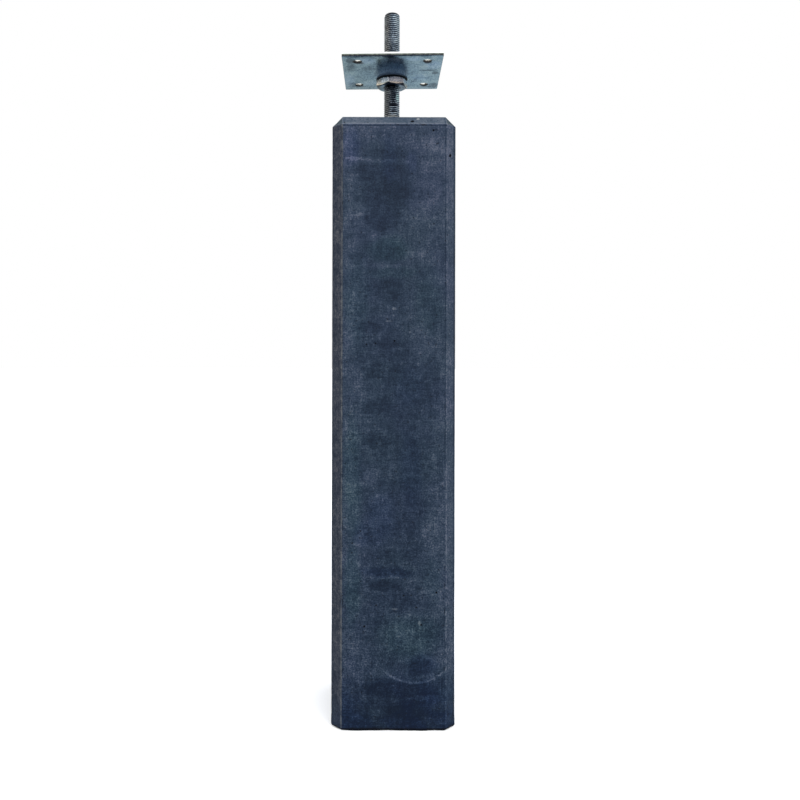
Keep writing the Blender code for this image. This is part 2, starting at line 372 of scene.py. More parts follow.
def concrete_material():
    """Dark blue-grey anthracite concrete: cloudy, streaked, with grit and pinholes; lighter on top and
    darker at the foot, partly as painted light and shade.
    """
    n = Nodes(bpy.data.materials.new("anthracite_concrete"))
    x, y, z = n.split(n.place)
    wide = n.size(x)
    deep = n.size(y)
    most = n.math("MAXIMUM", wide, deep)
    least = n.math("MINIMUM", wide, deep)
    warped = n.warped(55, 0.016)

    cloud = n.noise(24, 6, 0.62, distortion=0.5)
    patch = n.noise(75, 6, 0.68, w=3.0, distortion=0.8)
    mottle = n.noise(260, 5, 0.72, 0.34, 0.66, w=1.0)
    speck = n.noise(700, 3, 0.7, 0.34, 0.66, w=2.0)
    upright = n.noise(80, 5, 0.7, 0.38, 0.66, stretch=(2.4, 2.4, 0.4), w=5.0, distortion=0.9)
    level = n.noise(70, 5, 0.7, 0.38, 0.66, stretch=(0.4, 0.4, 2.4), w=7.0, distortion=0.9)
    hue = n.noise(17, 4, 0.6, 0.4, 0.6, w=11.0)

    front = n.step(y, -58.5, -59.2)
    streaks = n.times(n.total(-0.15, (upright, 0.16), (level, 0.14)), n.fade(front, 0.35, 1.0))
    dark = n.times(n.span(n.marks(warped, DARK_MARKS), 0.08, 0.85, smooth=True), front)
    light = n.times(n.marks(warped, LIGHT_MARKS), front)
    spots = n.times(n.marks(n.warped(200, 0.0024, w=6.0), PALE_SPOTS), n.step(y, -49, -49.5))
    teal = n.times(n.marks(warped, TEAL_MARKS), front)
    blue = n.times(n.marks(warped, NAVY_MARKS), front)

    # The pale scrape
    centre = (-SCRAPE_CENTRE[0] * MM, 0, -SCRAPE_CENTRE[1] * MM)
    reach = n.distance(n.warped(40, 0.003, w=4.0), (1, 0, 1), centre)
    scrape = n.step(n.off(reach, SCRAPE_RADIUS), SCRAPE_HALF_WIDTH, 0.2)
    scrape = n.times(scrape, n.step(z, 62, 51))
    scrape = n.times(scrape, front, n.span(mottle, 0.0, 0.6, 0.7, 1.0))

    # Fine crossed lines that the form boards left below the top
    fine_upright = n.noise(500, 4, 0.75, stretch=(1.0, 1.0, 0.2), w=17.0, distortion=1.2)
    fine_level = n.noise(460, 4, 0.75, stretch=(0.2, 0.2, 1.0), w=19.0, distortion=1.2)
    weave = n.total(-0.28, (fine_upright, 0.24), (fine_level, 0.32))
    weave = n.times(weave, front, n.step(z, 500, 380, 0.25, 1.0))
    weave = n.times(weave, n.span(patch, 0.1, 0.8, 0.4, 1.0))

    # The surface is rougher and less cleanly cast towards the foot
    grain = n.times(n.total(-0.385, (mottle, 0.27), (speck, 0.5)), n.step(z, 300, 80, 1.0, 1.35))
    grain = n.times(grain, n.step(z, 582, 583.5, 1.0, 0.55))

    # Worn arrises; a lighter band and a painted shadow line at the top chamfer's lower arris; the top
    # lighter and the foot darker, each partly its own colour and partly painted light and shade
    pale_arris = n.step(n.off(least, 50.4), 0.9, 0.35)
    pale_arris = n.times(pale_arris, n.span(mottle, 0.1, 0.7, 0.3, 1.0))
    pale_arris = n.times(pale_arris, n.step(x, 0, 20, 1.0, 0.55))
    # A lighter band, and below it a painted shadow line, along the top chamfer's lower arris
    top_line = n.step(n.off(z, 583.2), 1.0, 0.4)
    arris_painted_shadow = n.times(n.step(n.off(z, 581), 0.9, 0.4), n.step(least, 50.5, 50))
    dark_arris = n.step(n.off(least, 49.1), 0.8, 0.3)
    dark_arris = n.times(dark_arris, n.step(x, -10, 10), n.step(z, 180, 340))
    edge_line = n.times(n.step(y, -52.8, -51.4), n.step(x, 55, 57.5))
    edge_line = n.times(n.times(edge_line, n.step(y, -49.2, -49.8)), n.step(z, 120, 300, 0.4, 1.0))
    low_right = n.times(pale_arris, n.step(x, 0, 10), n.step(z, 340, 180))
    top = n.step(z, 581.8, 583.5, smooth=True)
    flat_top = n.step(z, 591, 591.6)
    upper = n.step(z, 470, 560)
    bevelled = n.step(least, 50.3, 50.8)
    facet = n.times(bevelled, top)
    foot = n.step(z, 75, 0, smooth=True)
    lower = n.step(z, 420, 50)
    sides = n.step(wide, 18, 46)

    # The tone is lighter towards the top and darker towards the foot; the top chamfer's extra lightness and
    # the foot's darkness are partly painted light and shade
    tone = n.total(
        0.39, (cloud, 0.17), (patch, 0.14), (grain, 1.0), (streaks, 1.2), (weave, 1.0), (dark, -0.22),
        (light, 0.21), (spots, 0.45), (scrape, 0.5), (pale_arris, 0.26), (low_right, 0.4),
        (dark_arris, -0.2), (top, 0.1), (flat_top, -0.13), (bevelled, 0.115), (facet, -0.34),
        (foot, -0.4), (lower, -0.05), (upper, 0.1), (sides, 0.09), (top_line, 0.22),
        (arris_painted_shadow, -0.28), (edge_line, -0.42),
    )
    colour = n.ramp(tone, CONCRETE_SHADES)
    # Violet and green casts, blue near the foot, greyer on top and browner at the top's corners
    hue = n.total(hue, (upper, 0.5))
    colour = n.tinted(n.times(hue, n.fade(top, 0.5, 0.1)), colour, (1.08, 0.955, 1.12))
    colour = n.tinted(n.times(foot, n.span(cloud, 0.7, 0.3)), colour, (0.8, 0.92, 1.14))
    colour = n.tinted(n.times(teal, 0.65), colour, (0.86, 1.1, 0.95))
    colour = n.tinted(blue, colour, (0.92, 0.96, 1.09))
    colour = n.tinted(top, colour, (1.06, 1.03, 0.98))
    colour = n.tinted(facet, colour, (1.08, 1.02, 0.86))

    # The left front chamfer is browner and rougher than the others
    worn = n.step(n.math("ADD", x, y), -108.8, -109.4)
    rubbed = n.total(-0.12, (mottle, 0.3), (speck, 0.34), (fine_upright, 0.36), (patch, 0.2))
    brown = n.ramp(n.total(rubbed, (n.step(y, -53.5, -50.5), -0.14)), BROWN_SHADES)
    worn = n.times(worn, n.step(z, 4, 40, 0.35, 1.0))
    colour = n.mix(n.times(worn, n.fade(top, 0.85, 0.3)), colour, brown)
    tan_arris = n.times(n.times(pale_arris, front), n.step(x, -45, -48))
    tan_arris = n.times(tan_arris, n.span(patch, 0.2, 0.6, 0.25, 0.75))
    colour = n.mix(tan_arris, colour, rgb(122, 126, 128))
    colour = n.mix(n.times(spots, n.fade(top, 0.15, 0.9)), colour, rgb(168, 172, 172))

    # Pinholes and chips lie behind the mould's face; their colour is darkened with dirt and painted shade
    behind = n.math("SUBTRACT", HALF_WIDTH, most)
    corner = n.math("SUBTRACT", 2 * HALF_WIDTH - CHAMFER, n.math("ADD", wide, deep))
    slope = n.math("SUBTRACT", HALF_WIDTH + BLOCK_TOP - CHAMFER, n.math("ADD", most, z))
    cut_corner = n.math("ADD", n.math("ADD", wide, deep), z)
    cut_corner = n.math("SUBTRACT", 2 * HALF_WIDTH + BLOCK_TOP - 2 * CHAMFER, cut_corner)
    depth = n.math("MINIMUM", behind, n.times(corner, SLANT_2))
    above = n.math("MINIMUM", n.times(slope, SLANT_2), n.times(cut_corner, SLANT_3))
    depth = n.math("MINIMUM", depth, above)
    cavity = n.times(n.step(depth, 0.3, 0.55), n.step(z, 4, 6))
    cavity = n.times(cavity, n.step(n.off(least, 50), 0.6, 0.9))
    cavity = n.times(cavity, n.step(z, -1, -1.4, base=BLOCK_TOP))
    colour = n.mix(cavity, colour, rgb(14, 17, 26))
    # Painted contact shadow: a ragged near-black line along the bottom edge
    painted_contact_shadow = n.total(-0.25, (n.step(z, 4.6, 1.2), 1.0), (patch, 0.5))
    colour = n.mix(n.span(painted_contact_shadow, 0.35, 0.8), colour, rgb(8, 12, 24))
    pinhole = n.noise(560, 1, 0.4, 0.31, 0.25, w=9.0)
    colour = n.mix(n.times(pinhole, 0.8), colour, rgb(16, 20, 30))

    relief = n.bump(mottle, 0.3, 0.6)
    relief = n.bump(speck, 0.35, 0.3, relief)
    relief = n.bump(pinhole, 0.8, -0.8, relief)
    return n.finish(colour, n.span(tone, 0.2, 0.8, 0.62, 0.9), relief, specular=0.2)


# A painted dark shade and a painted white glint where two of the nut's flats meet, as in the lists above
NUT_PAINTED_SHADE = ((-3.4, 642.9, 0.7, 1.5, 1.0),)
NUT_PAINTED_GLINT = ((-4.7, 640.8, 0.7, 1.3, 1.0),)


def nut_material():
    """Bright zinc, silky on the flats and darker on the faced ends."""
    n = Nodes(bpy.data.materials.new("nut_zinc"))
    patch = n.noise(90, 5, 0.65, w=4.0)
    fine = n.noise(520, 4, 0.7, w=5.0)
    colour = n.ramp(n.total(0.0, (patch, 0.5), (fine, 0.5)), NUT_SHADES)
    facing_x, _, facing_z = n.facing()
    x, y, z = n.split(n.place)
    # Tints by which way the surface faces, as painted reflection colours: bluish on one flat, rosy on the
    # next, with warm lower rims
    rosy = n.times(n.span(facing_x, -0.2, 0.1), n.span(facing_x, 0.7, 0.4))
    colour = n.mix(rosy, n.tint(colour, (0.93, 1.0, 1.08)), n.tint(colour, (0.94, 0.87, 0.88)))
    rim = n.times(n.step(z, 2.8, 1.6, base=NUT_LOW.z), n.span(facing_z, -0.6, -0.4))
    colour = n.tinted(rim, colour, (1.08, 0.95, 0.76))
    colour = n.tinted(n.step(x, -10.5, -12.5), colour, (0.97, 0.84, 0.7))
    # Painted shade: the lower chamfer darkened to a dark purple-grey line
    bevel = n.times(n.span(facing_z, -0.55, -0.75), n.span(facing_z, -0.97, -0.92))
    colour = n.mix(n.times(bevel, 0.85), colour, rgb(64, 64, 82))
    near = n.step(y, -8, -11)
    # Painted shade where the flats meet near the top, and a painted white glint on the corner below it
    colour = n.mix(n.times(n.marks(n.place, NUT_PAINTED_SHADE), near), colour, rgb(30, 26, 30))
    colour = n.mix(n.times(n.marks(n.place, NUT_PAINTED_GLINT), near), colour, rgb(255, 255, 255))
    end = n.span(n.size(facing_z), 0.92, 0.97)
    colour = n.tinted(end, colour, (0.45, 0.55, 0.7))
    streaks = n.noise(150, 4, 0.7, 0.52, 0.62, stretch=(2.5, 0.5, 1.0), w=12.0)
    colour = n.mix(n.times(end, streaks, 0.7), colour, rgb(70, 84, 96))
    roughness = n.total(0.18, (patch, 0.1), (fine, 0.08), (end, -0.12))
    relief = n.bump(patch, 0.08, 0.8, n.bump(fine, 0.07, 0.12))
    return n.finish(colour, roughness, relief, metallic=1.0)


# Stains and bluer, cleaner places on the plate's underside: x, y, half width, half depth (mm), strength
PLATE_STAINS = (
    (-42.5, -35.5, 5, 8, 1.0), (-43.5, -18, 7, 14, 0.6), (-23, -13, 10, 6, 0.35), (38, -9.5, 10, 2.4, 0.9),
    (44.3, -3, 3.5, 5, 0.9), (46, 36, 5, 9, 0.8), (-37, 35.5, 7, 7, 0.5), (24, 22, 8, 6, 0.25),
)
PLATE_CLEAN = (
    (-26.6, -35.5, 9, 10, 1.0), (18.4, -42, 10, 6, 1.0), (41, -25, 9, 12, 0.8), (-44, 22, 6, 20, 0.8),
    (-22, 30, 8, 8, 0.5), (30, 12, 10, 12, 0.5),
)
# Grime and painted shade behind and beside the screw holes
HOLE_GRIME_AND_SHADE = (
    (-34.2, -30.2, 5.2, 3.6, 0.95), (-38.6, -33, 3, 4, 0.6), (34.6, -31.2, 4.6, 3.0, 0.75),
    (36.4, 38.6, 5, 3, 0.6), (-31.8, 40.4, 5, 3, 0.6),
)


def plate_material():
    """The plate's zinc: mottled blue-grey with smears, a sheared edge and steel darkened round the weld."""
    n = Nodes(bpy.data.materials.new("plate_zinc"))
    x, y, z = n.split(n.place)

    def height(low, high):
        """How high a point is, between two heights in mm from the plate's top."""
        return n.step(z, low, high, base=PLATE_HIGH.z)

    patch = n.noise(50, 6, 0.68, 0.38, 0.62, stretch=(1.0, 0.55, 1.0), w=2.0, distortion=0.8)
    fine = n.noise(330, 5, 0.75, stretch=(1.0, 0.5, 1.0), w=4.0)
    smear = n.noise(40, 5, 0.65, 0.45, 0.62, stretch=(0.9, 1.2, 1.0), w=6.0, distortion=1.0)
    blot = n.noise(65, 5, 0.7, 0.54, 0.66, w=8.0, distortion=1.0)
    broken = n.warped(120, 0.009)
    stain = n.marks(broken, PLATE_STAINS, plane="xy")
    clean = n.marks(broken, PLATE_CLEAN, plane="xy")
    speck = n.noise(900, 3, 0.7, stretch=(1.0, 0.5, 1.0), w=14.0)
    stained = n.times(stain, n.span(fine, 0.1, 0.7, 1.0, 0.5))
    tone = n.total(
        -0.1, (patch, 0.3), (fine, 0.3), (speck, 0.55), (smear, 0.2), (blot, -0.35), (stained, -1.3),
        (clean, 0.12),
    )
    colour = n.ramp(tone, PLATE_SHADES)
    soiled = n.math("MAXIMUM", stained, n.times(smear, 0.25))
    colour = n.tinted(soiled, colour, (1.14, 1.0, 0.86))
    colour = n.tinted(n.times(clean, 0.8), colour, (0.97, 1.0, 1.16))
    colour = n.tinted(n.step(x, -5, 20), colour, (1.13, 1.15, 1.2))

    # Sheared edge: a painted highlight on its upper part, torn and olive below
    facing_z = n.facing()[2]
    edge = n.span(n.size(facing_z), 0.6, 0.35)
    outside = n.step(n.math("MAXIMUM", n.size(x), n.size(y)), 46, 48)
    colour = n.mix(n.times(edge, outside), colour, rgb(240, 242, 238))
    torn = n.times(n.times(edge, outside), height(-1.3, -1.9))
    colour = n.mix(torn, colour, n.ramp(fine, ((0.1, 70, 74, 70), (0.9, 128, 134, 122))))
    above = n.span(facing_z, 0.6, 0.9)
    plain = n.mix(0.5, n.tint(colour, (1.12, 1.0, 0.88)), rgb(172, 178, 182))
    colour = n.mix(above, colour, plain)
    lower_lip = n.times(n.times(outside, height(-2.9, -3.3)), height(-3.99, -3.95))
    colour = n.mix(lower_lip, colour, rgb(38, 38, 58))

    # The screw holes: painted light high in the bore, as if light came in from above, and painted shade,
    # brown and dark, near the underside
    in_hole = n.times(edge, n.span(outside, 1.0, 0.0))
    level = height(-3.6, -0.8)
    ends = n.step(n.off(n.size(x), HOLE_SPACING / 2 / MM), 2.0, 4.0)
    far = n.step(y, 0, 20)
    level = n.total(
        -0.45, (level, 1.0), (fine, 0.3), (patch, 0.3), (speck, 0.2), (ends, -0.3), (far, 0.22),
    )
    colour = n.mix(in_hole, colour, n.ramp(level, HOLE_PAINTED_LIGHT_AND_SHADE))
    # Grime and painted shade round the screw holes
    dark_patches = n.marks(n.warped(150, 0.003), HOLE_GRIME_AND_SHADE, plane="xy")
    colour = n.mix(n.times(dark_patches, n.span(in_hole, 1.0, 0.0)), colour, rgb(66, 66, 76))

    # Heat from welding the collar has darkened the steel round it
    reach = n.distance(n.warped(60, 0.01, w=2.0), (1, 1, 0))
    burnt = n.times(n.step(reach, 18.5, 17), height(-3.95, -4.1))
    colour = n.mix(burnt, colour, n.ramp(speck, ((0.1, 110, 128, 144), (0.9, 174, 190, 204))))
    haze = n.times(n.step(reach, 44, 22, smooth=True), height(-3.9, -3.98))
    colour = n.tinted(haze, colour, (1.2, 1.22, 1.25))
    colour = n.tint(colour, (1.14, 1.14, 1.14))
    # The washer: painted near-black as shade below the plate, with a painted highlight on its upper rim
    washer = n.step(z, 0.25, 0.1, base=WASHER_HIGH.z)
    painted_shade_black = n.ramp(fine, ((0.1, 12, 14, 20), (0.9, 48, 52, 58)))
    upper_rim_highlight = n.step(z, 0.4, 1.1, base=WASHER_LOW.z)
    colour = n.mix(washer, colour, n.mix(upper_rim_highlight, painted_shade_black, rgb(112, 130, 150)))
    roughness = n.total(
        0.14, (patch, 0.1), (fine, 0.06), (torn, 0.3), (burnt, 0.3), (haze, 0.14), (washer, 0.1),
    )
    relief = n.bump(smear, 0.1, 1.2, n.bump(fine, 0.12, 0.12))
    metallic = n.total(1.0, (burnt, -0.8), (haze, -0.34), (in_hole, -0.5))
    return n.finish(colour, roughness, relief, metallic)


# Dark smuts and small painted glints on the rod, as in the lists above
ROD_SMUTS = (
    (2, 617.2, 5, 1.8, 1.0), (1.5, 610.3, 4, 1.2, 0.8), (1.3, 627, 3.2, 9, 0.5), (3, 613.5, 2.5, 1, 0.5),
    (0, 634, 8, 3, 0.6),
)
ROD_PAINTED_GLINTS = ((5.4, 624.5, 1.9, 5, 0.9), (5.5, 632, 1.6, 3, 0.5), (3.5, 683, 2, 2, 0.6))


def rod_material():
    """Rolled thread in dulled zinc: crests with painted highlights and roots with painted shade, a brown
    painted reflection on one side, cement lowest down.
    """
    n = Nodes(bpy.data.materials.new("rod_zinc"))
    x, y, z = n.split(n.place)
    reach = n.distance(n.place, (1, 1, 0))
    crest = n.span(reach, ROD_RADIUS - THREAD_DEPTH, ROD_RADIUS - 0.15 * MM)
    patch = n.noise(90, 5, 0.65, w=1.5)
    fine = n.noise(600, 4, 0.7, w=2.5)
    dark_patches = n.noise(60, 5, 0.65, 0.45, 0.6, w=8.0)
    grit = n.noise(900, 2, 0.6, stretch=(1.0, 1.0, 1.6), w=16.0)
    low = n.step(z, 0, -8, base=NUT_LOW.z)
    left_brown_reflection = n.step(x, -0.5, -4.5)
    left_fewer_highlights = n.step(x, 3.5, -0.5)
    end = n.step(z, -5, -1, base=ROD_HIGH.z)
    near = n.step(y, 1, -1)
    smut = n.times(n.marks(n.warped(90, 0.005), ROD_SMUTS), near)
    painted_glint = n.times(n.marks(n.warped(90, 0.003, w=2.0), ROD_PAINTED_GLINTS), near)
    # Painted highlight and shade: crests lighter and roots darker, most on the right side, and painted shade
    # on the left of the lower rod
    contrast = n.math("MAXIMUM", n.fade(left_fewer_highlights, 0.8, 0.22), n.fade(low, 0.0, 0.45))
    ridge = n.times(n.math("SUBTRACT", crest, 0.5), contrast)
    shaded = n.times(n.step(x, -1, -4), low)
    tone = n.total(
        -0.09, (ridge, 1.0), (patch, 0.24), (fine, 0.36), (grit, 0.44), (dark_patches, -0.1), (low, -0.05),
        (shaded, -0.13), (end, -0.16), (smut, -0.6), (painted_glint, 0.3),
    )
    colour = n.ramp(tone, ROD_SHADES)
    # A brown painted reflection on the left side
    colour = n.tinted(n.times(left_brown_reflection, n.fade(dark_patches, 0.7, 1.0)), colour, (1.05, 0.84, 0.68))
    # A cyan tint on the painted glints of the lower rod
    colour = n.tinted(n.times(painted_glint, low), colour, (0.9, 1.12, 1.04))
    # Cement film, lower and thinner behind
    behind = n.step(y, 0, 8)
    edge = n.total(BLOCK_TOP + CEMENT_REACH, (patch, 1.6 * MM), (fine, 1.2 * MM), (behind, -5 * MM))
    film = n.step(n.math("SUBTRACT", edge, z), 0, 1.2)
    film = n.times(film, n.span(crest, 0.0, 0.8, 0.4, 1.0), n.step(y, 1, -3, 0.7, 1.0))
    colour = n.mix(film, colour, n.ramp(grit, CEMENT_SHADES))
    roughness = n.total(0.2, (patch, 0.12), (fine, 0.1))
    roughness = n.math("MAXIMUM", roughness, n.times(film, 0.85))
    metallic = n.math("SUBTRACT", 1.0, film, clamp=True)
    return n.finish(colour, roughness, n.bump(fine, 0.25, 0.2), metallic)


def outline_at(inset):
    """The block's outline drawn in by `inset`: each point's x, y, side and share of the side."""
    wide, deep = HALF_WIDTH - inset, HALF_DEPTH - inset
    flat_x, flat_y = HALF_WIDTH - CHAMFER, HALF_DEPTH - CHAMFER
    corners = [
        (-flat_x, -deep), (flat_x, -deep), (wide, -flat_y), (wide, flat_y),
        (flat_x, deep), (-flat_x, deep), (-wide, flat_y), (-wide, -flat_y),
    ]
    points = []
    for side in range(8):
        start, end = corners[side], corners[(side + 1) % 8]
        cells = CHAMFER_CELLS if side % 2 else FACE_CELLS
        for step in range(cells):
            t = step / cells
            x = start[0] + (end[0] - start[0]) * t
            y = start[1] + (end[1] - start[1]) * t
            points.append((x, y, side, t))
    return points


SIDE_NORMALS = [
    Vector(way).normalized() for way in (
        (0, -1, 0), (1, -1, 0), (1, 0, 0), (1, 1, 0), (0, 1, 0), (-1, 1, 0), (-1, 0, 0), (-1, -1, 0),
    )
]
RIGHT_SIDE, BACK_SIDE, LEFT_SIDE, LEFT_FRONT_SIDE = 2, 4, 6, 7

# Pinholes on the front, the top chamfer and the right front chamfer: x, z, radius, depth (mm)
FRONT_PITS = (
    (37.3, 576.3, 1.2, 2.1), (7.2, 556.2, 0.8, 1.2), (16.7, 534.8, 0.8, 1.3), (0.5, 374.0, 1.1, 2.0),
    (-17.8, 371.7, 1.0, 1.8), (-26.6, 370.8, 0.95, 1.8), (-31.8, 191.6, 1.0, 1.8),
    (-39.9, 179.9, 0.95, 1.8), (-40.1, 170.7, 0.9, 1.7), (41.1, 132.7, 1.2, 2.1), (9.7, 129.7, 1.0, 1.8),
    (-16.7, 120.4, 1.0, 1.8), (21.7, 118.4, 1.0, 1.7), (-28.1, 100.0, 1.3, 2.1), (26.5, 101.6, 1.2, 1.9),
)
TOP_PITS = ((17.4, 586.2, 2.2, 3.0), (-48.0, 584.6, 1.0, 1.8))
RIGHT_CHAMFER_PITS = ((54.1, 552.8, 2.0, 3.0), (51.6, 476.0, 0.8, 1.5))
HIDDEN_PITS = 34


def foot_wear(x, y):
    """How much of the lower arris is gone at a point of the outline."""
    waves = 0.6 * math.sin(x * 113 + y * 171) + 0.4 * math.sin(x * 287 - y * 239 + 1.3)
    crumbs = 0.35 * rough_noise((x, y, 0), 9 * MM, 3.0)
    corner = (abs(x) / HALF_WIDTH) ** 8 * (abs(y) / HALF_DEPTH) ** 3
    return max(0.5 * MM, FOOT_WEAR + FOOT_STRAY * (waves + crumbs) + CORNER_WEAR * corner)


def surface_depth(point, edge, grit):
    """How far a point of the cast surface lies behind the mould's face."""
    board = 0.07 * MM * (1 + soft_noise(point, 70 * MM, 1.0))
    cast = 0.05 * MM * (1 + soft_noise(point, 14 * MM, 2.0))
    grain = 0.09 * MM * grit * max(0.0, rough_noise(point, 4.2 * MM, 5.0))
    chips = 0.0
    if edge > 0:
        chip = smooth_step(0.18, 0.62, soft_noise(point, 8 * MM, 9.0))
        chips = edge * (0.22 * MM + 0.75 * MM * chip)
    return board + cast + grain + chips


def sink_pits(bm):
    """Pinholes: the nearest point of the surface sinks in, and its neighbours close up to the hole's rim."""
    bm.verts.ensure_lookup_table()
    tree = KDTree(len(bm.verts))
    for i, vert in enumerate(bm.verts):
        tree.insert(vert.co, i)
    tree.balance()
    front = Vector((0, -1, 0))
    slope = Vector((0, -1, 1)).normalized()
    bevel = Vector((1, -1, 0)).normalized()
    pits = [((x, -HALF_DEPTH / MM, z), front, r, d) for x, z, r, d in FRONT_PITS]
    pits += [((x, -(HALF_DEPTH + BLOCK_TOP - CHAMFER) / MM + z, z), slope, r, d) for x, z, r, d in TOP_PITS]
    pits += [((x, x - (2 * HALF_WIDTH - CHAMFER) / MM, z), bevel, r, d) for x, z, r, d in RIGHT_CHAMFER_PITS]
    chance = random.Random(11)
    for number in range(HIDDEN_PITS):
        side = chance.choice((RIGHT_SIDE, BACK_SIDE, LEFT_SIDE))
        along, z = chance.uniform(-46, 46), chance.uniform(20, 575)
        normal = SIDE_NORMALS[side]
        across = Vector((-normal.y, normal.x, 0))
        place = normal * HALF_WIDTH / MM + across * along + Vector((0, 0, z))
        pits.append((place, normal, chance.uniform(0.6, 1.2), chance.uniform(1.3, 2.0)))
    for place, normal, radius, depth in pits:
        place = Vector(place) * MM
        middle = bm.verts[tree.find(place)[1]]
        around = {v for face in middle.link_faces for v in face.verts} - {middle}
        for vert in around:
            outward = vert.co - middle.co
            outward -= normal * outward.dot(normal)
            vert.co = place + outward.normalized() * radius * MM + normal * normal.dot(vert.co - place)
        middle.co = place - normal * depth * MM


def bridge(bm, below, above):
    """Faces between two closed rings of vertices."""
    for k in range(len(below)):
        after = (k + 1) % len(below)
        bm.faces.new((below[k], below[after], above[after], above[k]))


def make_block(material):
    bm = bmesh.new()
    body_top = BLOCK_TOP - CHAMFER
    rings = []

    def add_ring(points):
        rings.append([bm.verts.new(p) for p in points])
        if len(rings) > 1:
            bridge(bm, rings[-2], rings[-1])

    outline = outline_at(0)
    wear = [foot_wear(x, y) for x, y, side, t in outline]

    # Underside, from its middle out to the worn edge
    middle = bm.verts.new((0, 0, 0.15 * MM))
    for ring_number in range(1, UNDERSIDE_RINGS + 1):
        share = ring_number / UNDERSIDE_RINGS
        points = []
        for (x, y, side, t), lost in zip(outline, wear):
            inset = 1 - lost * WEAR_INWARD / HALF_WIDTH
            px, py = x * inset * share, y * inset * share
            lift = UNDERSIDE_LIFT * (1 + soft_noise((px, py, 0), 9 * MM, 4.0)) if share < 1 else 0.0
            points.append((px, py, lift))
        add_ring(points)
    first = rings[0]
    for i in range(len(first)):
        bm.faces.new((middle, first[(i + 1) % len(first)], first[i]))

    # Rounded, crumbling lower arris
    for row in range(1, FOOT_ROWS + 1):
        turn = math.pi / 2 * row / FOOT_ROWS
        points = []
        for (x, y, side, t), lost in zip(outline, wear):
            inward = lost * WEAR_INWARD * (1 - math.sin(turn))
            up = lost * (1 - math.cos(turn))
            ragged = 0.12 * MM * rough_noise((x, y, up), 3 * MM, 6.0) if row < FOOT_ROWS else 0
            inset = 1 - max(0.0, inward + ragged) / HALF_WIDTH
            points.append((x * inset, y * inset, max(0.0, up)))
        add_ring(points)

    # Sides: each column climbs from its own foot to the top chamfer
    rows = round(body_top / ROW_HEIGHT)
    for row in range(1, rows + 1):
        share = row / rows
        points = []
        for (x, y, side, t), lost in zip(outline, wear):
            z = lost + (body_top - lost) * share
            normal = SIDE_NORMALS[side]
            edge = 0.0
            if t == 0:
                normal = (normal + SIDE_NORMALS[side - 1]).normalized()
                edge = 1.0
            if row == rows:
                edge = max(edge, 0.7)
            grit = 1.6 if side == LEFT_FRONT_SIDE else 1.0
            depth = surface_depth((x, y, z), edge, grit) * smooth_step(0, 0.02, share)
            points.append(Vector((x, y, z)) - normal * depth)
        add_ring(points)

    # Top chamfer: the corners' facets narrow to a point
    for row in range(1, CHAMFER_CELLS + 1):
        share = row / CHAMFER_CELLS
        points = []
        for x, y, side, t in outline_at(CHAMFER * share):
            normal = (SIDE_NORMALS[side] + Vector((0, 0, 1))).normalized()
            edge = 0.6 if row == CHAMFER_CELLS else (0.5 if t == 0 else 0.0)
            point = Vector((x, y, body_top + CHAMFER * share))
            points.append(point - normal * surface_depth(point, edge, 1.2))
        add_ring(points)

    # Top face, a little rough from the float
    top_ring = rings[-1]
    cells = FACE_CELLS
    grid = {}
    flat_x, flat_y = HALF_WIDTH - CHAMFER, HALF_DEPTH - CHAMFER
    step = cells + CHAMFER_CELLS
    for k in range(cells + 1):
        grid[(k, 0)] = top_ring[k]
        grid[(cells, k)] = top_ring[(step + k) % len(top_ring)]
        grid[(cells - k, cells)] = top_ring[(2 * step + k) % len(top_ring)]
        grid[(0, cells - k)] = top_ring[(3 * step + k) % len(top_ring)]
    for i in range(1, cells):
        for j in range(1, cells):
            x = -flat_x + 2 * flat_x * i / cells
            y = -flat_y + 2 * flat_y * j / cells
            waves = 0.35 * MM * (1 + soft_noise((x, y, 1), 22 * MM, 3.0))
            dip = waves + 0.12 * MM * (1 + rough_noise((x, y, 2), 5 * MM, 8.0))
            grid[(i, j)] = bm.verts.new((x, y, BLOCK_TOP - max(0.05 * MM, dip)))
    for i in range(cells):
        for j in range(cells):
            bm.faces.new((grid[(i, j)], grid[(i + 1, j)], grid[(i + 1, j + 1)], grid[(i, j + 1)]))
    bmesh.ops.remove_doubles(bm, verts=top_ring, dist=0.02 * MM)
    sink_pits(bm)
    bmesh.ops.dissolve_degenerate(bm, dist=0.005 * MM, edges=bm.edges)
    return add_piece("concrete_column", bm, material, "footing", "concrete_block", 35)


def circle(bm, radius, height, steps, x=0.0, y=0.0, bead=None):
    """A ring of vertices; bead(angle) is added to its radius."""
    ring = []
    for k in range(steps):
        angle = 2 * math.pi * k / steps
        r = radius + bead(angle) if bead else radius
        ring.append(bm.verts.new((x + r * math.cos(angle), y + r * math.sin(angle), height)))
    return ring


def close_tube(bm, rings):
    """Faces between neighbouring rings and over both ends."""
    for below, above in zip(rings, rings[1:]):
        bridge(bm, below, above)
    bm.faces.new(list(reversed(rings[0])))
    bm.faces.new(rings[-1])
    return bm


def thread_radius(phase):
    """The thread's radius at a point of its pitch, from a root at 0 to a root at 1, with flat crests."""
    share = (abs(phase - 0.5) - CREST_HALF) / (ROOT_HALF - CREST_HALF)
    return ROD_RADIUS - THREAD_DEPTH * min(1.0, max(0.0, share))


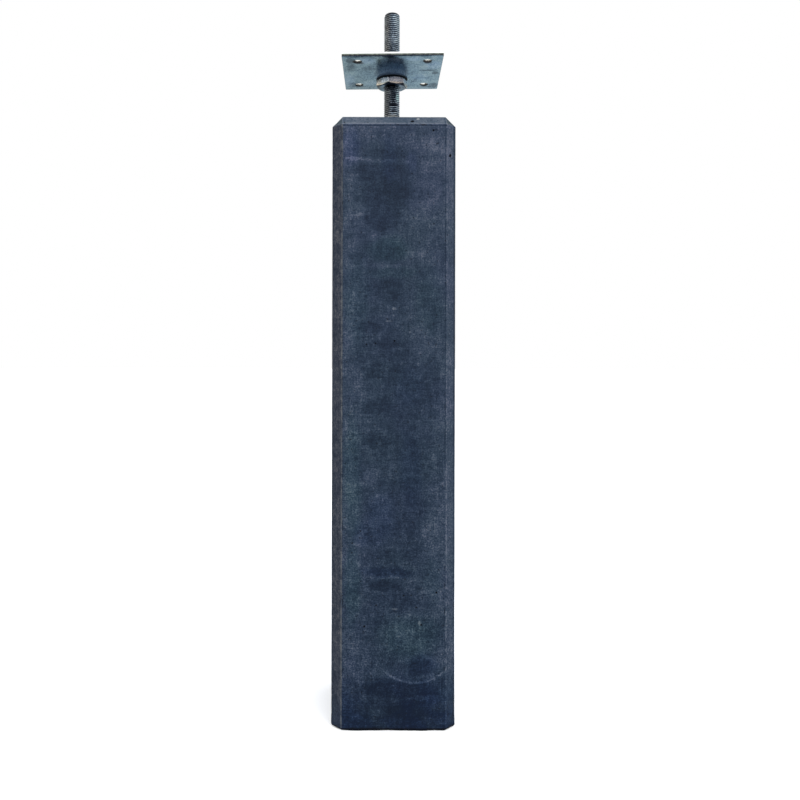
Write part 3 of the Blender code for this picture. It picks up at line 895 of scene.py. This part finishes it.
def make_rod(material):
    """The rod: columns of points climb the thread, so that its surface is one true helix."""
    foot = BLOCK_TOP - 2 * MM
    tip = ROD_HIGH.z
    thread_top = tip - 1.6 * MM
    turns = int((thread_top - foot) / THREAD_PITCH) - 1
    first_root = thread_top - (turns + 1) * THREAD_PITCH
    rise = len(THREAD_PHASES)
    levels = turns * rise + 1
    shank = ROD_RADIUS - THREAD_DEPTH / 2
    bm = bmesh.new()
    end_ring = circle(bm, shank, ROD_LOW.z, ROD_STEPS)
    shank_ring = circle(bm, shank, foot, ROD_STEPS)
    columns = []
    for k in range(ROD_STEPS):
        angle = 2 * math.pi * k / ROD_STEPS
        column = []
        for level in range(levels):
            turn, part = divmod(level, rise)
            phase = THREAD_PHASES[part]
            height = first_root + THREAD_PITCH * (turn + phase + k / ROD_STEPS)
            radius = thread_radius(phase)
            spot = (math.cos(angle) * ROD_RADIUS, math.sin(angle) * ROD_RADIUS, height)
            if radius > ROD_RADIUS - 0.1 * MM:
                radius -= 0.16 * MM * max(0.0, rough_noise(spot, 3.0 * MM, 2.0) - 0.1)
            # Cement fills the thread just above the block
            fill = BLOCK_TOP + CEMENT_HEIGHT * (0.75 + 0.35 * soft_noise(spot, 5 * MM, 7.0)) - height
            filled = ROD_RADIUS - 0.25 * MM + 0.12 * MM * soft_noise(spot, 2 * MM, 4.0)
            if fill > 0:
                radius = max(radius, filled)
            radius = min(radius, ROD_RADIUS)
            column.append(bm.verts.new((radius * math.cos(angle), radius * math.sin(angle), height)))
        columns.append(column)
    # The chamfered tip
    tip_rings = [
        circle(bm, ROD_RADIUS - inward * MM, height, ROD_STEPS) for inward, height in (
            (0.5, thread_top + 0.25 * MM), (0.9, thread_top + 0.7 * MM), (1.6, tip - 0.12 * MM), (1.9, tip),
        )
    ]
    neck_ring = tip_rings[0]
    for k in range(ROD_STEPS):
        after = (k + 1) % ROD_STEPS
        here, there = columns[k], columns[after]
        for low, high in ((end_ring, shank_ring), *zip(tip_rings, tip_rings[1:])):
            bm.faces.new((low[k], low[after], high[after], high[k]))
        # The last column meets the first one a turn higher
        up = 0 if after else rise
        bm.faces.new((shank_ring[k], shank_ring[after], *there[: up + 1], here[0]))
        bm.faces.new((*reversed(here[-up - 1 :]), there[-1], neck_ring[after], neck_ring[k]))
        for level in range(levels - 1 - up):
            bm.faces.new((here[level], there[level + up], there[level + up + 1], here[level + 1]))
    bm.faces.new(list(reversed(end_ring)))
    bm.faces.new(tip_rings[-1])
    bmesh.ops.recalc_face_normals(bm, faces=bm.faces)
    return add_piece("rod_with_thread", bm, material, "footing", "threaded_rod", 28)


def lathe(profile_at, steps, offset=0.0):
    """A closed ring surface: profile_at(angle) gives its section as pairs of radius and height."""
    bm = bmesh.new()
    sections = []
    for k in range(steps):
        angle = 2 * math.pi * k / steps + offset
        c, s = math.cos(angle), math.sin(angle)
        sections.append([bm.verts.new((r * c, r * s, h)) for r, h in profile_at(angle)])
    for k in range(steps):
        here, there = sections[k], sections[(k + 1) % steps]
        for i in range(len(here)):
            j = (i + 1) % len(here)
            bm.faces.new((here[i], here[j], there[j], there[i]))
    bmesh.ops.recalc_face_normals(bm, faces=bm.faces)
    return bm


def make_nut(material):
    """The hexagon nut: flats with softened corners, chamfered to a round face at both ends."""
    apothem = NUT_FLATS / 2
    corner_cut = apothem / math.cos(math.pi / 6) - 0.35 * MM
    face = apothem - 0.9 * MM
    slope = math.tan(math.radians(30))
    lip = 0.18 * MM
    bore = ROD_RADIUS + 0.25 * MM
    mouth = bore + 0.9 * MM
    low, high = NUT_LOW.z, NUT_HIGH.z

    def profile(angle):
        turn = (angle - NUT_ANGLE) % (math.pi / 3) - math.pi / 6
        rim = min(apothem / math.cos(turn), corner_cut + 0.05 * MM)
        drop = (rim - face) * slope
        return [
            (bore, low + 0.9 * MM), (mouth, low),
            ((mouth + face) / 2, low), (face - lip, low), (face + lip * 0.6, low + lip * 0.5),
            (rim - lip, low + drop - lip * slope), (rim, low + drop + lip),
            (rim, (low + high) / 2),
            (rim, high - drop - lip), (rim - lip, high - drop + lip * slope),
            (face + lip * 0.6, high - lip * 0.5), (face - lip, high), ((mouth + face) / 2, high),
            (mouth, high), (bore, high - 0.9 * MM),
        ]

    bm = lathe(profile, NUT_STEPS, NUT_ANGLE)
    return add_piece("bright_nut", bm, material, "nut", "hex_nut", 24)


def make_washer(material):
    """The thin washer, with rounded rims that wander a little."""
    low, high = WASHER_LOW.z, WASHER_HIGH.z
    outer = WASHER_HIGH.x
    inner = ROD_RADIUS + 0.7 * MM

    def profile(angle):
        wobble = 0.1 * MM * soft_noise((math.cos(angle), math.sin(angle), 0), 0.4, 1.0)
        rim = outer - 0.1 * MM + min(0.0, wobble)
        return [
            (inner + 0.3 * MM, low), (rim - 0.5 * MM, low), (rim - 0.15 * MM, low + 0.15 * MM),
            (rim, low + 0.5 * MM), (rim, high - 0.5 * MM), (rim - 0.15 * MM, high - 0.15 * MM),
            (rim - 0.5 * MM, high), (inner + 0.3 * MM, high),
            (inner, high - 0.3 * MM), (inner, low + 0.3 * MM),
        ]

    bm = lathe(profile, WASHER_STEPS)
    return add_piece("washer_ring", bm, material, "head", "washer", 40)


def cut(piece, operation, bm):
    """Applies a Boolean with a temporary solid."""
    tool = add_object("cutter", make_mesh("cutter", bm))
    modifier = piece.modifiers.new("cut", "BOOLEAN")
    modifier.operation = operation
    modifier.solver = "EXACT"
    modifier.object = tool
    result = bpy.data.meshes.new_from_object(piece.evaluated_get(bpy.context.evaluated_depsgraph_get()))
    piece.modifiers.remove(modifier)
    piece.data = result
    bpy.data.objects.remove(tool)


def drill(x, y, radius, low, high, lip, steps):
    """A cutter for a hole whose rims are broken by `lip`."""
    bm = bmesh.new()
    over = 1 * MM
    stations = (
        (radius + lip + over, low - over), (radius, low + lip),
        (radius, high - lip), (radius + lip + over, high + over),
    )
    return close_tube(bm, [circle(bm, r, h, steps, x, y) for r, h in stations])


def make_plate(material):
    """The square plate with its welded collar, drilled for the rod and four screws."""
    top = PLATE_HIGH.z
    under = top - PLATE_THICKNESS
    collar_low = PLATE_LOW.z
    bm = bmesh.new()
    bmesh.ops.create_cube(bm, size=1)
    bmesh.ops.scale(bm, vec=(PLATE_SIDE, PLATE_SIDE, PLATE_THICKNESS), verts=bm.verts)
    upright = [e for e in bm.edges if e.verts[0].co.xy == e.verts[1].co.xy]
    bmesh.ops.bevel(bm, geom=upright, offset=1.2 * MM, segments=4, affect="EDGES", profile=0.5)
    rims = [e for e in bm.edges if abs(e.verts[0].co.z - e.verts[1].co.z) < 1e-6]
    bmesh.ops.bevel(bm, geom=rims, offset=0.35 * MM, segments=3, affect="EDGES", profile=0.5)
    bmesh.ops.translate(bm, vec=(0, 0, under + PLATE_THICKNESS / 2), verts=bm.verts)
    piece = add_object("plate_square", make_mesh("plate_square", bm))

    # Collar with the fillet of its weld
    def weld_bead(angle):
        ripple = soft_noise((math.cos(angle), math.sin(angle), 0), 0.25, 5.0)
        return 0.22 * MM * math.sin(angle * 31) + 0.25 * MM * ripple

    weld_low = under - WELD_FILLET
    stations = [
        (COLLAR_RADIUS - 0.4 * MM, collar_low, None), (COLLAR_RADIUS, collar_low + 0.4 * MM, None),
        (COLLAR_RADIUS, weld_low, None),
    ]
    for step in range(1, 5):
        angle = math.pi / 2 * step / 4
        out, up = WELD_FILLET * (1 - math.cos(angle)), WELD_FILLET * math.sin(angle) * 0.98
        stations.append((COLLAR_RADIUS + out, weld_low + up, weld_bead))
    stations.append((COLLAR_RADIUS + WELD_FILLET, under + 1 * MM, weld_bead))
    collar = bmesh.new()
    rings = [circle(collar, r, h, COLLAR_STEPS, bead=bead) for r, h, bead in stations]
    cut(piece, "UNION", close_tube(collar, rings))

    cut(piece, "DIFFERENCE", drill(0, 0, ROD_HOLE_RADIUS, collar_low, top, 0.3 * MM, ROD_HOLE_STEPS))
    for row in (-1, 1):
        for side in (-1, 1):
            x, y = side * HOLE_SPACING / 2, row * HOLE_SPACING / 2
            cut(piece, "DIFFERENCE", drill(x, y, HOLE_RADIUS, under, top, 0.25 * MM, HOLE_STEPS))
    piece.data.transform(Matrix.Rotation(PLATE_YAW, 4, "Z"))
    shade(piece.data, material, 30)
    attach(piece, "head")
    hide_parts("post_plate")
    return piece


def add_camera():
    data = bpy.data.cameras.new("photo_camera")
    data.sensor_width = SENSOR_MM
    data.lens = FOCAL_PX / PHOTO_SIDE * SENSOR_MM
    data.shift_x = (PHOTO_SIDE / 2 - PRINCIPAL_PX[0]) / PHOTO_SIDE
    data.shift_y = (PRINCIPAL_PX[1] - PHOTO_SIDE / 2) / PHOTO_SIDE
    data.clip_start, data.clip_end = CLIP_RANGE
    camera = add_object("photo_camera", data)
    camera.location = CAMERA_AT
    camera.rotation_euler = (math.radians(90), CAMERA_ROLL, 0)
    bpy.context.scene.camera = camera


def studio_world():
    """An overcast studio, bright above and dark below in front. The camera itself sees white."""
    n = Nodes(bpy.data.worlds.new("studio"), "Generated")
    x, y, z = n.split(n.place)
    across = n.mix(n.span(x, -0.9, 0.3, smooth=True), SKY_LEFT, SKY_RIGHT)
    sky = n.mix(n.span(z, 0.3, 0.75, smooth=True), across, SKY_HIGH)
    ground = n.mix(n.span(y, -0.35, 0.45, smooth=True), GROUND_FRONT, GROUND_BACK)
    room = n.mix(n.span(z, -0.06, 0.16, smooth=True), ground, sky)
    seen = n.mix(n.add("LightPath").outputs["Is Camera Ray"], room, WHITE)
    n.put(n.tree.nodes["Background"].inputs["Color"], seen)
    return n.owner


def add_studio():
    """A pale floor under soft light from above and a little to the right."""
    scene = bpy.context.scene
    scene.view_settings.view_transform = "Standard"
    scene.world = studio_world()
    sun = bpy.data.lights.new("soft_key", "SUN")
    sun.energy = KEY_STRENGTH
    sun.angle = KEY_SPREAD
    add_object("soft_key", sun).rotation_euler = Vector(KEY_FROM).to_track_quat("Z", "Y").to_euler()

    bm = bmesh.new()
    bmesh.ops.create_circle(bm, cap_ends=True, segments=96, radius=FLOOR_RADIUS)
    floor = add_object("floor", make_mesh("floor", bm))
    material = bpy.data.materials.new("floor")
    material.use_nodes = True
    shader = material.node_tree.nodes["Principled BSDF"]
    shader.inputs["Base Color"].default_value = FLOOR_COLOUR
    shader.inputs["Roughness"].default_value = 1.0
    shader.inputs["Specular IOR Level"].default_value = 0.0
    shader.inputs["Emission Color"].default_value = WHITE
    shader.inputs["Emission Strength"].default_value = FLOOR_GLOW
    floor.data.materials.append(material)
    floor.visible_glossy = False
    floor.visible_diffuse = False


make_block(concrete_material())
make_rod(rod_material())
make_nut(nut_material())
plate_zinc = plate_material()
make_washer(plate_zinc)
make_plate(plate_zinc)
add_camera()
add_studio()
